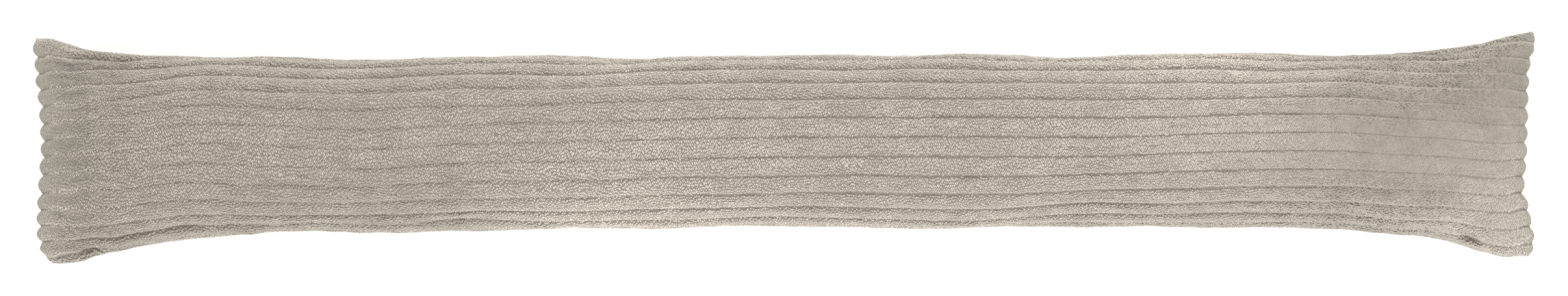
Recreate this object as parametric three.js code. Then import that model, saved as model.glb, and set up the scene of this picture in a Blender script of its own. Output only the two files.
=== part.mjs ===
// A stuffed draught excluder in wide-wale cord, lying face up on the floor.
//
// One filled cushion, long in X, with its wales (the raised ribs of pile) running
// from one sewn end to the other. The cover is a tube of cloth, so the wales go
// right round it. The sewn ends are flat and wider than the round middle, and the
// wales stand past each end seam as a row of scallops.
//
// Millimetres, +X along the cushion, +Z up, origin under the middle on the floor.

import * as THREE from 'three';

// Driving dimensions
const LENGTH = 880;
const WALE_COUNT = 27;
const WALE_HEIGHT = 3.2;
const WALE_ROUNDNESS = 2.6;
const FLOOR_GAP = 1.2;
const FLOOR_SOFTNESS = 4;

// The sewn ends
const SCALLOP_DEPTH = { left: 3.2, right: 2.1 };
const SCALLOP_REACH = 12;
const SEAM_REACH = 60;
const PILE_ROUNDING = 5;
const PILE_AT_SEAM = 0.45;
const SEAM_HALF_THICKNESS = 0.8;
const SEAM_FOLD_UNDER = 0.35;
const EDGE_BLUNTNESS = 0.35;
const EAR_SHARPNESS = 0.3;
const EAR_REACH = 110;
const UNDERSIDE_FULLNESS = 0.72;

// How finely the solid is cut
const WALE_STEPS = [0, 0.24, 0.5, 0.76];
const MIDDLE_SPANS = 42;
const END_CROWDING = 0.7;
const END_RINGS = [0, 0.8, 2.6, 5];
const OUTLINE_STEPS = 240;

// The cushion's sections, from the left end to the right. rear and near are its
// two long edges in Y, crown its highest point and side the height of its widest
// line. rearWale and nearWale are the wales, counted round the cover from the
// rear, that lie at those edges: they drift because the cover is a little twisted.
const SECTIONS = [
  { x: -440, rear: 66.4, near: -67.8, crown: 33, side: 29, rearWale: -0.05, nearWale: 13.45 },
  { x: -430, rear: 66.4, near: -67.4, crown: 41, side: 30, rearWale: 0.05, nearWale: 13.5 },
  { x: -418, rear: 64.2, near: -66.2, crown: 49, side: 31, rearWale: 0.3, nearWale: 13.45 },
  { x: -406, rear: 60.2, near: -63, crown: 56, side: 33, rearWale: 0.6, nearWale: 13.35 },
  { x: -391, rear: 57.4, near: -60, crown: 61, side: 33.5, rearWale: 0.8, nearWale: 13.2 },
  { x: -376, rear: 56.2, near: -57, crown: 65, side: 35, rearWale: 0.95, nearWale: 13.2 },
  { x: -345, rear: 54.3, near: -51.6, crown: 70, side: 36, rearWale: 1.03, nearWale: 13.28 },
  { x: -307, rear: 54, near: -49.4, crown: 73, side: 36.5, rearWale: 0.95, nearWale: 13.3 },
  { x: -246, rear: 52.9, near: -49.2, crown: 75, side: 36.5, rearWale: 0.95, nearWale: 12.9 },
  { x: -185, rear: 53.2, near: -47.6, crown: 75.5, side: 36.5, rearWale: 1.05, nearWale: 13 },
  { x: -117, rear: 54.4, near: -46.4, crown: 76, side: 36.5, rearWale: 1.1, nearWale: 13 },
  { x: -41, rear: 54.3, near: -46, crown: 76, side: 36.5, rearWale: 1.4, nearWale: 13 },
  { x: 35, rear: 55.3, near: -44.8, crown: 76.5, side: 36.5, rearWale: 1.4, nearWale: 13 },
  { x: 112, rear: 55.4, near: -46.2, crown: 76.5, side: 36.5, rearWale: 1.25, nearWale: 13.05 },
  { x: 188, rear: 55, near: -46.3, crown: 76.5, side: 36.5, rearWale: 1.08, nearWale: 13.1 },
  { x: 264, rear: 56, near: -46, crown: 75.5, side: 36.5, rearWale: 1.17, nearWale: 13.4 },
  { x: 325, rear: 55.4, near: -46.9, crown: 73.5, side: 36, rearWale: 1.2, nearWale: 13.52 },
  { x: 355, rear: 55.8, near: -50.4, crown: 70, side: 35.5, rearWale: 1.22, nearWale: 13.6 },
  { x: 386, rear: 58.6, near: -54.4, crown: 63.5, side: 34.5, rearWale: 1.25, nearWale: 13.55 },
  { x: 408, rear: 61.8, near: -59.6, crown: 55, side: 32.5, rearWale: 1.15, nearWale: 13.55 },
  { x: 424, rear: 65.6, near: -63.2, crown: 45.5, side: 30, rearWale: 0.85, nearWale: 13.6 },
  { x: 434, rear: 68.4, near: -63.3, crown: 38, side: 28, rearWale: 0.5, nearWale: 13.68 },
  { x: 440, rear: 69, near: -62.8, crown: 31.5, side: 27.5, rearWale: 0.35, nearWale: 13.7 },
];

// How far each end seam lies in from the cushion's full length, at heights y across
// it: both seams bow in at the middle and round off at the corners.
const SEAM_LINE = [
  { y: 70, left: 10, right: 2 },
  { y: 64, left: 3.2, right: 0.6 },
  { y: 58, left: 0, right: 1 },
  { y: 45, left: 1.3, right: 3.9 },
  { y: 20, left: 3.9, right: 4.7 },
  { y: 2, left: 4.8, right: 5.2 },
  { y: -24, left: 3.2, right: 6.8 },
  { y: -36, left: 2.3, right: 3.4 },
  { y: -50, left: 2.3, right: 1 },
  { y: -58, left: 3.4, right: 1.6 },
  { y: -64, left: 8.4, right: 6 },
  { y: -67, left: 14, right: 12 },
  { y: -70, left: 22, right: 20 },
];

// Places where the cover is pinched in between two wales, as soft troughs, or where
// a wale is pushed out beside a trough (a depth below nothing).
const PINCHES = [
  { x: -411, wale: 0.1, reach: 11, spread: 0.3, depth: 5.5 },
  { x: -404, wale: -0.45, reach: 14, spread: 0.35, depth: -2.4 },
  { x: -396, wale: 0.45, reach: 9, spread: 0.3, depth: 3 },
  { x: -382, wale: 0.85, reach: 9, spread: 0.3, depth: 2.6 },
  { x: -335, wale: 0.9, reach: 16, spread: 0.4, depth: 1.6 },
  { x: -407, wale: 13, reach: 12, spread: 0.3, depth: 6 },
  { x: -414, wale: 13.7, reach: 15, spread: 0.4, depth: -1.4 },
  { x: -349, wale: 12, reach: 15, spread: 0.35, depth: 2.6 },
  { x: -313, wale: 12.1, reach: 14, spread: 0.35, depth: 2.6 },
  { x: -197, wale: 12, reach: 17, spread: 0.45, depth: 3.2 },
  { x: -110, wale: 13, reach: 22, spread: 0.4, depth: 1.2 },
  { x: 171, wale: 12.9, reach: 22, spread: 0.4, depth: 1.2 },
  { x: 316, wale: 1, reach: 20, spread: 0.4, depth: 1.4 },
  { x: 379, wale: 0.9, reach: 13, spread: 0.35, depth: 3 },
  { x: 401, wale: 12.9, reach: 10, spread: 0.3, depth: 6 },
];

// Places where the wales bend aside. shift is in wales, towards the near edge.
const BENDS = [
  { x: -412, wale: 1, reach: 24, spread: 0.9, shift: 0.3 },
  { x: -405, wale: 5.5, reach: 45, spread: 3, shift: -0.18 },
  { x: -409, wale: 11, reach: 16, spread: 0.9, shift: 0.3 },
  { x: -335, wale: 5.5, reach: 30, spread: 1.8, shift: -0.14 },
  { x: -310, wale: 9.5, reach: 26, spread: 1.6, shift: 0.22 },
  { x: -276, wale: 12.1, reach: 16, spread: 0.8, shift: -0.25 },
  { x: -172, wale: 11.9, reach: 30, spread: 1, shift: -0.34 },
  { x: -40, wale: 11.6, reach: 34, spread: 1, shift: -0.13 },
  { x: 140, wale: 3, reach: 40, spread: 1, shift: -0.08 },
  { x: 190, wale: 11.9, reach: 28, spread: 1, shift: -0.27 },
  { x: 240, wale: 2, reach: 34, spread: 0.9, shift: -0.15 },
  { x: 262, wale: 12, reach: 26, spread: 1, shift: -0.16 },
  { x: 360, wale: 5.5, reach: 50, spread: 2, shift: -0.1 },
  { x: 413, wale: 1, reach: 24, spread: 0.9, shift: 0.35 },
  { x: 416, wale: 4, reach: 26, spread: 1.8, shift: -0.18 },
];

// Slow swells of the filling under the cover: waves along X and round the wales.
const SWELLS = [
  { length: 210, around: 2, phase: 0.4, height: 0.7 },
  { length: 133, around: 3, phase: 2.1, height: 0.55 },
  { length: 83, around: 5, phase: 4.4, height: 0.35 },
];

const clamp01 = (t) => Math.min(1, Math.max(0, t));
const smoothStep = (t) => clamp01(t) ** 2 * (3 - 2 * clamp01(t));
const bell = (t) => Math.exp(-t * t);
const wrapWale = (w) => w - WALE_COUNT * Math.round(w / WALE_COUNT);

/** The sum of a column over rows of local changes, each fading out round its place. */
function nearby(rows, x, wale, column) {
  return rows.reduce((sum, row) => {
    const away = bell((x - row.x) / row.reach) * bell(wrapWale(wale - row.wale) / row.spread);
    return sum + row[column] * away;
  }, 0);
}

/** How far the slow swells lift the cover at x on a wale. */
function swellAt(x, wale) {
  const round = (2 * Math.PI * wale) / WALE_COUNT;
  return SWELLS.reduce((sum, swell) => {
    const wave = Math.sin((2 * Math.PI * x) / swell.length + swell.around * round + swell.phase);
    return sum + swell.height * wave;
  }, 0);
}

/** How far in from the full length one end's seam lies at y. */
function seamSetBack(y, end) {
  const k = Math.max(1, SEAM_LINE.findIndex((row) => row.y <= y));
  const [p, q] = [SEAM_LINE[k - 1], SEAM_LINE[k]];
  return p[end] + (q[end] - p[end]) * smoothStep((p.y - y) / (p.y - q.y));
}

/** The share of its full height that the pile has a distance in from the end seam. */
function pileShare(fromEnd) {
  const rounded = Math.sqrt(1 - (1 - clamp01(fromEnd / PILE_ROUNDING)) ** 2);
  return PILE_AT_SEAM + (1 - PILE_AT_SEAM) * rounded;
}

/** A column of SECTIONS at x, on a smooth curve through its rows. */
function along(x, column) {
  const last = SECTIONS.length - 1;
  const found = SECTIONS.findIndex((row) => row.x >= x);
  const k = found < 0 ? last - 1 : Math.max(0, found - 1);
  const slope = (i) => {
    const a = SECTIONS[Math.max(0, i - 1)];
    const b = SECTIONS[Math.min(last, i + 1)];
    return (b[column] - a[column]) / (b.x - a.x);
  };
  const [p, q] = [SECTIONS[k], SECTIONS[k + 1]];
  const span = q.x - p.x;
  const t = clamp01((x - p.x) / span);
  const rise = smoothStep(t);
  const leave = t * (1 - t) ** 2 * span * slope(k);
  const arrive = t * t * (t - 1) * span * slope(k + 1);
  return p[column] + (q[column] - p[column]) * rise + leave + arrive;
}

/** The ground cloth's outline across the cushion at x: rows of { y, z, ny, nz } from
 *  the rear edge over the crown to the near edge, then back underneath. The pile
 *  stands on it along (ny, nz), so it lies one pile height inside the real edges. */
function groundOutline(x) {
  const fromEnd = LENGTH / 2 - Math.abs(x);
  const pile = WALE_HEIGHT * pileShare(fromEnd);
  const rear = along(x, 'rear') - pile;
  const near = along(x, 'near') + pile;
  const side = along(x, 'side');
  const half = (rear - near) / 2;
  const above = Math.max(SEAM_HALF_THICKNESS, along(x, 'crown') - side - pile);
  const full = smoothStep(fromEnd / EAR_REACH);
  const below = SEAM_HALF_THICKNESS + (side + FLOOR_SOFTNESS) * Math.sqrt(full * (2 - full));
  const topPower = 1 + EAR_SHARPNESS * (1 - full);
  const underPower = UNDERSIDE_FULLNESS + (topPower - UNDERSIDE_FULLNESS) * (1 - full);
  const points = [];
  for (let i = 0; i < OUTLINE_STEPS; i++) {
    const angle = (2 * Math.PI * i) / OUTLINE_STEPS;
    const lift = Math.abs(Math.sin(angle));
    const y = (rear + near) / 2 + half * Math.cos(angle);
    let z = side + above * lift ** topPower;
    if (Math.sin(angle) < 0) {
      const hang = side - below * lift ** underPower - FLOOR_GAP;
      z = FLOOR_GAP + (hang + Math.hypot(hang, FLOOR_SOFTNESS * full)) / 2;
    }
    points.push({ y, z, angle });
  }
  points.forEach((point, i) => {
    const before = points[(i + OUTLINE_STEPS - 1) % OUTLINE_STEPS];
    const after = points[(i + 1) % OUTLINE_STEPS];
    const square = new THREE.Vector2(after.z - before.z, before.y - after.y).normalize();
    const depth = Math.max(Math.sin(point.angle) < 0 ? below : above, EDGE_BLUNTNESS * half);
    const blunt = new THREE.Vector2(depth * Math.cos(point.angle), half * Math.sin(point.angle));
    const stand = blunt.normalize().lerp(square, full).normalize();
    [point.ny, point.nz] = [stand.x, stand.y];
  });
  return points;
}

/** Distances along half of an outline, from its first point, and where it starts. */
function measure(points, start) {
  const reach = [0];
  for (let i = 1; i <= OUTLINE_STEPS / 2; i++) {
    const a = points[(start + i - 1) % OUTLINE_STEPS];
    const b = points[(start + i) % OUTLINE_STEPS];
    reach.push(reach[i - 1] + Math.hypot(b.y - a.y, b.z - a.z));
  }
  return { start, reach };
}

/** The outline's point and normal a share of the way along one measured half. */
function pointAt(points, half, share) {
  const goal = clamp01(share) * half.reach.at(-1);
  const k = Math.max(1, half.reach.findIndex((d) => d >= goal - 1e-9));
  const t = (goal - half.reach[k - 1]) / (half.reach[k] - half.reach[k - 1]);
  const a = points[(half.start + k - 1) % OUTLINE_STEPS];
  const b = points[(half.start + k) % OUTLINE_STEPS];
  const mix = (key) => a[key] + (b[key] - a[key]) * t;
  return { y: mix('y'), z: mix('z'), ny: mix('ny'), nz: mix('nz') };
}

/** The point of the solid on a wale at x, given the outline there and its two halves. */
function skinPoint(x, wale, outline, top, under) {
  const fromEnd = LENGTH / 2 - Math.abs(x);
  const [rearWale, nearWale] = [along(x, 'rearWale'), along(x, 'nearWale')];
  const turned = wale - rearWale + nearby(BENDS, x, wale, 'shift');
  const place = ((turned % WALE_COUNT) + WALE_COUNT) % WALE_COUNT;
  const seen = nearWale - rearWale;
  const onTop = place <= seen;
  const at = onTop
    ? pointAt(outline, top, place / seen)
    : pointAt(outline, under, (place - seen) / (WALE_COUNT - seen));
  const valley = Math.abs(2 * (wale % 1) - 1) ** WALE_ROUNDNESS;
  const out = WALE_HEIGHT * pileShare(fromEnd) * (1 - valley)
    - nearby(PINCHES, x, wale, 'depth') * smoothStep(fromEnd / SCALLOP_REACH)
    + swellAt(x, wale) * smoothStep(fromEnd / SEAM_REACH);
  const end = x < 0 ? 'left' : 'right';
  const notch = SCALLOP_DEPTH[end] * (onTop ? valley : 1) * (1 - smoothStep(fromEnd / SCALLOP_REACH));
  const setBack = seamSetBack(at.y, end) * (1 - smoothStep(fromEnd / SEAM_REACH));
  return new THREE.Vector3(
    x - Math.sign(x) * (notch + setBack),
    at.y + at.ny * out,
    Math.max(0, at.z + at.nz * out),
  );
}

/** One ring of the solid at x, with a point for each of WALE_STEPS on each wale. */
function ring(x) {
  const outline = groundOutline(x);
  const top = measure(outline, 0);
  const under = measure(outline, OUTLINE_STEPS / 2);
  const points = [];
  for (let wale = 0; wale < WALE_COUNT; wale++) {
    WALE_STEPS.forEach((step) => points.push(skinPoint(x, wale + step, outline, top, under)));
  }
  return points;
}

/** Where the rings stand along X: close together near the ends, where the shape turns. */
function ringPlaces() {
  const lastOpen = LENGTH / 2 - END_RINGS.at(-1);
  const middle = [];
  for (let i = 1; i < MIDDLE_SPANS; i++) {
    const t = (2 * i) / MIDDLE_SPANS - 1;
    middle.push(lastOpen * (END_CROWDING * Math.sin((t * Math.PI) / 2) + (1 - END_CROWDING) * t));
  }
  const right = END_RINGS.map((d) => LENGTH / 2 - d).reverse();
  return [...right.map((x) => -x).reverse(), ...middle, ...right];
}

/** The ring folded back under the scallops to the seam itself, where it is closed. */
function foldUnder(points, x) {
  const middle = along(x, 'side');
  const end = x < 0 ? 'left' : 'right';
  return points.map((p) => new THREE.Vector3(
    x - Math.sign(x) * (SCALLOP_DEPTH[end] + seamSetBack(p.y, end)),
    p.y,
    middle + (p.z - middle) * SEAM_FOLD_UNDER,
  ));
}

/** Faces that close a flat ring, zipped from its rear edge along both sides at once. */
function capFaces(points, first, facing) {
  const count = points.length;
  const rear = points.reduce((best, p, i) => (p.y > points[best].y ? i : best), 0);
  const faces = [];
  let [above, below] = [rear, rear];
  while ((above + 1) % count !== below) {
    const [nextAbove, nextBelow] = [(above + 1) % count, (below + count - 1) % count];
    const takeAbove = points[nextAbove].y > points[nextBelow].y;
    const face = [above, below, takeAbove ? nextAbove : nextBelow].map((i) => i + first);
    if (above !== below) faces.push(facing < 0 ? face : face.reverse());
    if (takeAbove) above = nextAbove;
    else below = nextBelow;
  }
  return faces;
}

/** The closed skin through all rings, moved so that it stands centred on the origin. */
function cushionGeometry() {
  const open = ringPlaces().map(ring);
  const rings = [foldUnder(open[0], -LENGTH / 2), ...open, foldUnder(open.at(-1), LENGTH / 2)];
  const around = rings[0].length;
  const faces = [];
  for (let j = 0; j + 1 < rings.length; j++) {
    for (let i = 0; i < around; i++) {
      const next = (i + 1) % around;
      const [a, b] = [j * around + i, j * around + next];
      const [c, d] = [a + around, b + around];
      faces.push([a, b, c], [b, d, c]);
    }
  }
  faces.push(...capFaces(rings[0], 0, -1));
  faces.push(...capFaces(rings.at(-1), (rings.length - 1) * around, 1));

  const geometry = new THREE.BufferGeometry().setFromPoints(rings.flat());
  geometry.setIndex(faces.flat());
  geometry.computeBoundingBox();
  const box = geometry.boundingBox;
  geometry.translate(-(box.min.x + box.max.x) / 2, -(box.min.y + box.max.y) / 2, -box.min.z);
  geometry.computeVertexNormals();
  return geometry;
}

const cord = new THREE.MeshStandardMaterial({ color: 0xb1a99b, roughness: 0.95, metalness: 0 });

const cushion = new THREE.Mesh(cushionGeometry(), cord);
cushion.name = 'cushion';

const draughtExcluder = new THREE.Group();
draughtExcluder.add(cushion);

export default draughtExcluder;
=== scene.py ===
"""A stuffed draught excluder in wide-wale cord, lying on its back on a pale floor.

The cover is one closed cushion mesh. Its smooth body comes from a table of sections,
its folds from tables of local changes, and its wales (the raised ribs of pile) stand on
it along its normals. The pile's loops are small grains laid in chevrons on every wale.
Metres in the scene, millimetres in the tables.
"""

from __future__ import annotations

import logging
import math
from collections.abc import Sequence
from dataclasses import dataclass, field
from enum import Enum
from typing import NamedTuple

import bpy
import numpy as np
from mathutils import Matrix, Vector

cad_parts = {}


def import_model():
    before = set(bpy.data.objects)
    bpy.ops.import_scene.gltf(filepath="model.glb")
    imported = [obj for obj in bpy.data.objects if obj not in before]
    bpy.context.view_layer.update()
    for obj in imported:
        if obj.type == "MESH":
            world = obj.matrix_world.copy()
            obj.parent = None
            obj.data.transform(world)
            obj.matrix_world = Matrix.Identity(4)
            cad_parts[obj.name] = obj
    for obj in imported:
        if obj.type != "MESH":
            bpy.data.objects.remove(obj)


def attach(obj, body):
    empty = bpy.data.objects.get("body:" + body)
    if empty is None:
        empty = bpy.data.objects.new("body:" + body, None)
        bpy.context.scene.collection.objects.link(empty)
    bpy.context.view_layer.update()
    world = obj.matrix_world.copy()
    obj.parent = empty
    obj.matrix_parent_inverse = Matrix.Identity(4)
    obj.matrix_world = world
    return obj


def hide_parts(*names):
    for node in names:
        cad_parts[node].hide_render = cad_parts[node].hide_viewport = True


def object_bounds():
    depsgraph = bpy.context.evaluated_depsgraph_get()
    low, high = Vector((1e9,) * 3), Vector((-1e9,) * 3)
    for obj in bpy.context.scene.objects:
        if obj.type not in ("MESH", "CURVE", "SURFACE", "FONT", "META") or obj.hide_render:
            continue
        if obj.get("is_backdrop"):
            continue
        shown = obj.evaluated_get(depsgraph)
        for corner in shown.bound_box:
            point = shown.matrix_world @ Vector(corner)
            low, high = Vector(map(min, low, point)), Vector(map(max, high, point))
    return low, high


LOG = logging.getLogger("draught_excluder")
MM = 0.001
PHOTO_WIDTH_PX = 2413
PHOTO_MM_PER_PX = 0.38
ROW_PITCH_MM = 1.22
ROW_LEAN = 2.5
BAKE_MARGIN = 0.004
BAKE_CELL_REACH = 0.36
Colour = tuple[float, float, float]
Inputs = dict[str | int, object]
Socket = bpy.types.NodeSocket


class End(Enum):
    """The cushion's two sewn ends, as they lie in the photograph."""

    LEFT = -1
    RIGHT = 1

    @staticmethod
    def nearer(u: float) -> End:
        """The end that a place along the cushion is nearer to."""
        return End.LEFT if u < 0 else End.RIGHT


class Section(NamedTuple):
    """The cushion across at one place: its two long edges, height and wales there."""

    x: float
    rear: float
    near: float
    crown: float
    side: float
    rear_wale: float
    near_wale: float


class SeamPoint(NamedTuple):
    """How far in from the full length each end seam lies at one y."""

    y: float
    left: float
    right: float


class Patch(NamedTuple):
    """A local change of the cover, which fades out round one place on one wale.

    Its amount is a trough's depth in PINCHES, a shift in wales towards the near edge in
    BENDS, and painted light, a lighter tone of the pile, in PAINTED_LIGHT_AND_SHADE. Below 0 it is the
    opposite: in PAINTED_LIGHT_AND_SHADE painted shade.
    """

    x: float
    wale: float
    reach: float
    spread: float
    amount: float


class Swell(NamedTuple):
    """A slow wave of the filling, along the cushion and round it."""

    length: float
    around: int
    phase: float
    height: float


SECTIONS = (
    Section(-440, 65.3, -66.9, 33.0, 29.0, -0.06, 13.30),
    Section(-435, 66.1, -67.6, 37.0, 29.5, 0.00, 13.35),
    Section(-430, 66.0, -67.1, 41.0, 30.0, 0.08, 13.40),
    Section(-418, 62.3, -65.4, 49.0, 31.0, 0.25, 13.40),
    Section(-406, 59.5, -62.2, 56.0, 33.0, 0.42, 13.35),
    Section(-391, 56.6, -59.9, 61.0, 33.5, 0.55, 13.20),
    Section(-376, 54.9, -56.5, 65.0, 35.0, 0.72, 13.20),
    Section(-345, 55.6, -51.3, 70.0, 36.0, 0.80, 13.28),
    Section(-307, 54.9, -49.5, 73.0, 36.5, 0.72, 13.30),
    Section(-246, 53.4, -49.0, 75.0, 36.5, 0.70, 12.95),
    Section(-185, 54.1, -47.0, 75.5, 36.5, 0.85, 13.10),
    Section(-117, 54.9, -46.9, 76.0, 36.5, 0.92, 13.20),
    Section(-41, 54.9, -46.0, 76.0, 36.5, 1.17, 13.20),
    Section(35, 55.3, -44.6, 76.5, 36.5, 1.15, 13.20),
    Section(112, 56.2, -46.7, 76.5, 36.5, 1.12, 13.35),
    Section(188, 55.3, -45.0, 76.5, 36.5, 0.90, 13.50),
    Section(264, 56.3, -45.7, 75.5, 36.5, 0.97, 13.85),
    Section(325, 57.0, -46.8, 73.5, 36.0, 0.95, 13.90),
    Section(355, 56.7, -50.9, 70.0, 35.5, 0.92, 13.93),
    Section(386, 59.0, -54.5, 63.5, 34.5, 0.90, 13.80),
    Section(408, 63.2, -60.0, 55.0, 32.5, 0.82, 13.65),
    Section(424, 66.9, -63.2, 45.5, 30.0, 0.72, 13.60),
    Section(434, 69.1, -63.3, 38.0, 28.0, 0.56, 13.68),
    Section(440, 69.7, -62.8, 31.5, 27.5, 0.46, 13.70),
)

SEAM_LINE = (
    SeamPoint(70, 7.0, 2.0),
    SeamPoint(64, 1.8, 0.6),
    SeamPoint(59, 0.0, 1.0),
    SeamPoint(45, 1.3, 3.9),
    SeamPoint(20, 3.9, 4.7),
    SeamPoint(2, 4.8, 5.2),
    SeamPoint(-24, 3.2, 6.8),
    SeamPoint(-36, 2.3, 3.4),
    SeamPoint(-50, 2.3, 1.0),
    SeamPoint(-57, 4.0, 1.5),
    SeamPoint(-62.3, 8.2, 5.1),
    SeamPoint(-65, 11.6, 7.6),
    SeamPoint(-67, 15.4, 12.0),
    SeamPoint(-70, 24.0, 20.0),
)

PINCHES = (
    Patch(-407, 0.34, 13, 0.13, 3.4),
    Patch(-404, -0.45, 14, 0.35, -1.6),
    Patch(-398, 1.00, 17, 0.13, 1.5),
    Patch(-383, 1.00, 7, 0.20, 3.0),
    Patch(-335, 0.90, 16, 0.40, 1.6),
    Patch(-408, 13.00, 7, 0.20, 5.0),
    Patch(-425, 13.00, 11, 0.14, 1.8),
    Patch(-394, 13.00, 13, 0.14, 1.6),
    Patch(-414, 13.70, 15, 0.40, -1.4),
    Patch(-385, 12.00, 26, 0.16, 1.4),
    Patch(-349, 12.00, 15, 0.35, 2.6),
    Patch(-313, 12.10, 14, 0.35, 2.6),
    Patch(-197, 12.00, 17, 0.45, 3.2),
    Patch(-110, 13.00, 22, 0.40, 1.2),
    Patch(171, 12.90, 22, 0.40, 1.2),
    Patch(316, 1.00, 20, 0.40, 1.4),
    Patch(402, 1.00, 28, 0.15, 2.0),
    Patch(377, 1.00, 7, 0.20, 2.8),
    Patch(401, 13.00, 6, 0.18, 3.6),
)

BENDS = (
    Patch(-440, 9.4, 24, 2.2, 0.20),
    Patch(-440, 5.4, 16, 1.2, 0.12),
    Patch(-408, 1.0, 20, 0.75, 0.28),
    Patch(-384, 1.0, 10, 0.7, 0.20),
    Patch(-405, 5.5, 45, 3.0, -0.18),
    Patch(-409, 11.0, 16, 0.9, 0.30),
    Patch(-335, 5.5, 30, 1.8, -0.14),
    Patch(-310, 9.5, 26, 1.6, 0.22),
    Patch(-276, 12.1, 16, 0.8, -0.25),
    Patch(-172, 11.9, 30, 1.0, -0.34),
    Patch(-40, 11.6, 34, 1.0, -0.13),
    Patch(140, 3.0, 40, 1.0, -0.08),
    Patch(190, 11.9, 28, 1.0, -0.27),
    Patch(240, 2.0, 34, 0.9, -0.15),
    Patch(262, 12.0, 26, 1.0, -0.16),
    Patch(360, 5.5, 50, 2.0, -0.10),
    Patch(384, 1.0, 18, 0.7, 0.34),
    Patch(416, 4.0, 26, 1.8, -0.18),
)

# Painted light and shade on the pile: soft patches of lighter tone, darker below 0
PAINTED_LIGHT_AND_SHADE = (
    Patch(-260, 7.0, 140, 12.0, -0.17),
    Patch(-420, 7.0, 45, 12.0, -0.20),
    Patch(-420, 0.8, 45, 2.2, -0.38),
    Patch(-415, 13.2, 50, 2.0, -0.25),
    Patch(-250, 11.5, 105, 2.5, -0.20),
    Patch(-80, 8.5, 75, 5.0, 0.10),
    Patch(-110, 11.5, 65, 3.2, 0.38),
    Patch(-100, 2.5, 80, 2.5, 0.12),
    Patch(250, 2.2, 75, 3.0, 0.32),
    Patch(255, 11.8, 70, 2.6, -0.18),
    Patch(352, 7.0, 66, 12.0, -0.58),
    Patch(415, 11.5, 36, 3.0, 0.12),
    Patch(425, 2.0, 45, 4.5, -0.70),
)

SWELLS = (
    Swell(210, 2, 0.4, 0.70),
    Swell(133, 3, 2.1, 0.55),
    Swell(83, 5, 4.4, 0.35),
)


def smooth_step(t: np.ndarray | float) -> np.ndarray:
    """0 below 0, 1 above 1 and an even S between."""
    t = np.clip(t, 0.0, 1.0)
    return t * t * (3 - 2 * t)


def bell(t: np.ndarray | float) -> np.ndarray:
    """A bell curve of height 1 that has faded out by about 2."""
    return np.exp(-np.square(t))


def from_crest(wale: np.ndarray) -> np.ndarray:
    """How far each place is from its wale's crest, from 0 there to 1 in a valley."""
    return np.abs(2 * np.mod(wale, 1.0) - 1)


def unit(rows: np.ndarray) -> np.ndarray:
    """Each row as a vector of length 1."""
    return rows / np.linalg.norm(rows, axis=1, keepdims=True)


def read_between(grid: np.ndarray, row: np.ndarray, column: np.ndarray) -> np.ndarray:
    """Reads a grid between its points.

    Args:
        grid: Numbers or vectors, rows along the cushion by columns round it, which wrap.
        row: The rows to read at, with fractions.
        column: The columns to read at, in a shape that goes with row's.

    Returns:
        What the grid holds there.
    """
    rows, columns = grid.shape[:2]
    j, i = np.clip(row.astype(int), 0, rows - 2), column.astype(int) % columns
    s, t = row - j, column - np.floor(column)
    if grid.ndim > 2:
        s, t = s[..., None], t[..., None]
    near = grid[j, i] * (1 - t) + grid[j, (i + 1) % columns] * t
    far = grid[j + 1, i] * (1 - t) + grid[j + 1, (i + 1) % columns] * t
    return near * (1 - s) + far * s


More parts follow.
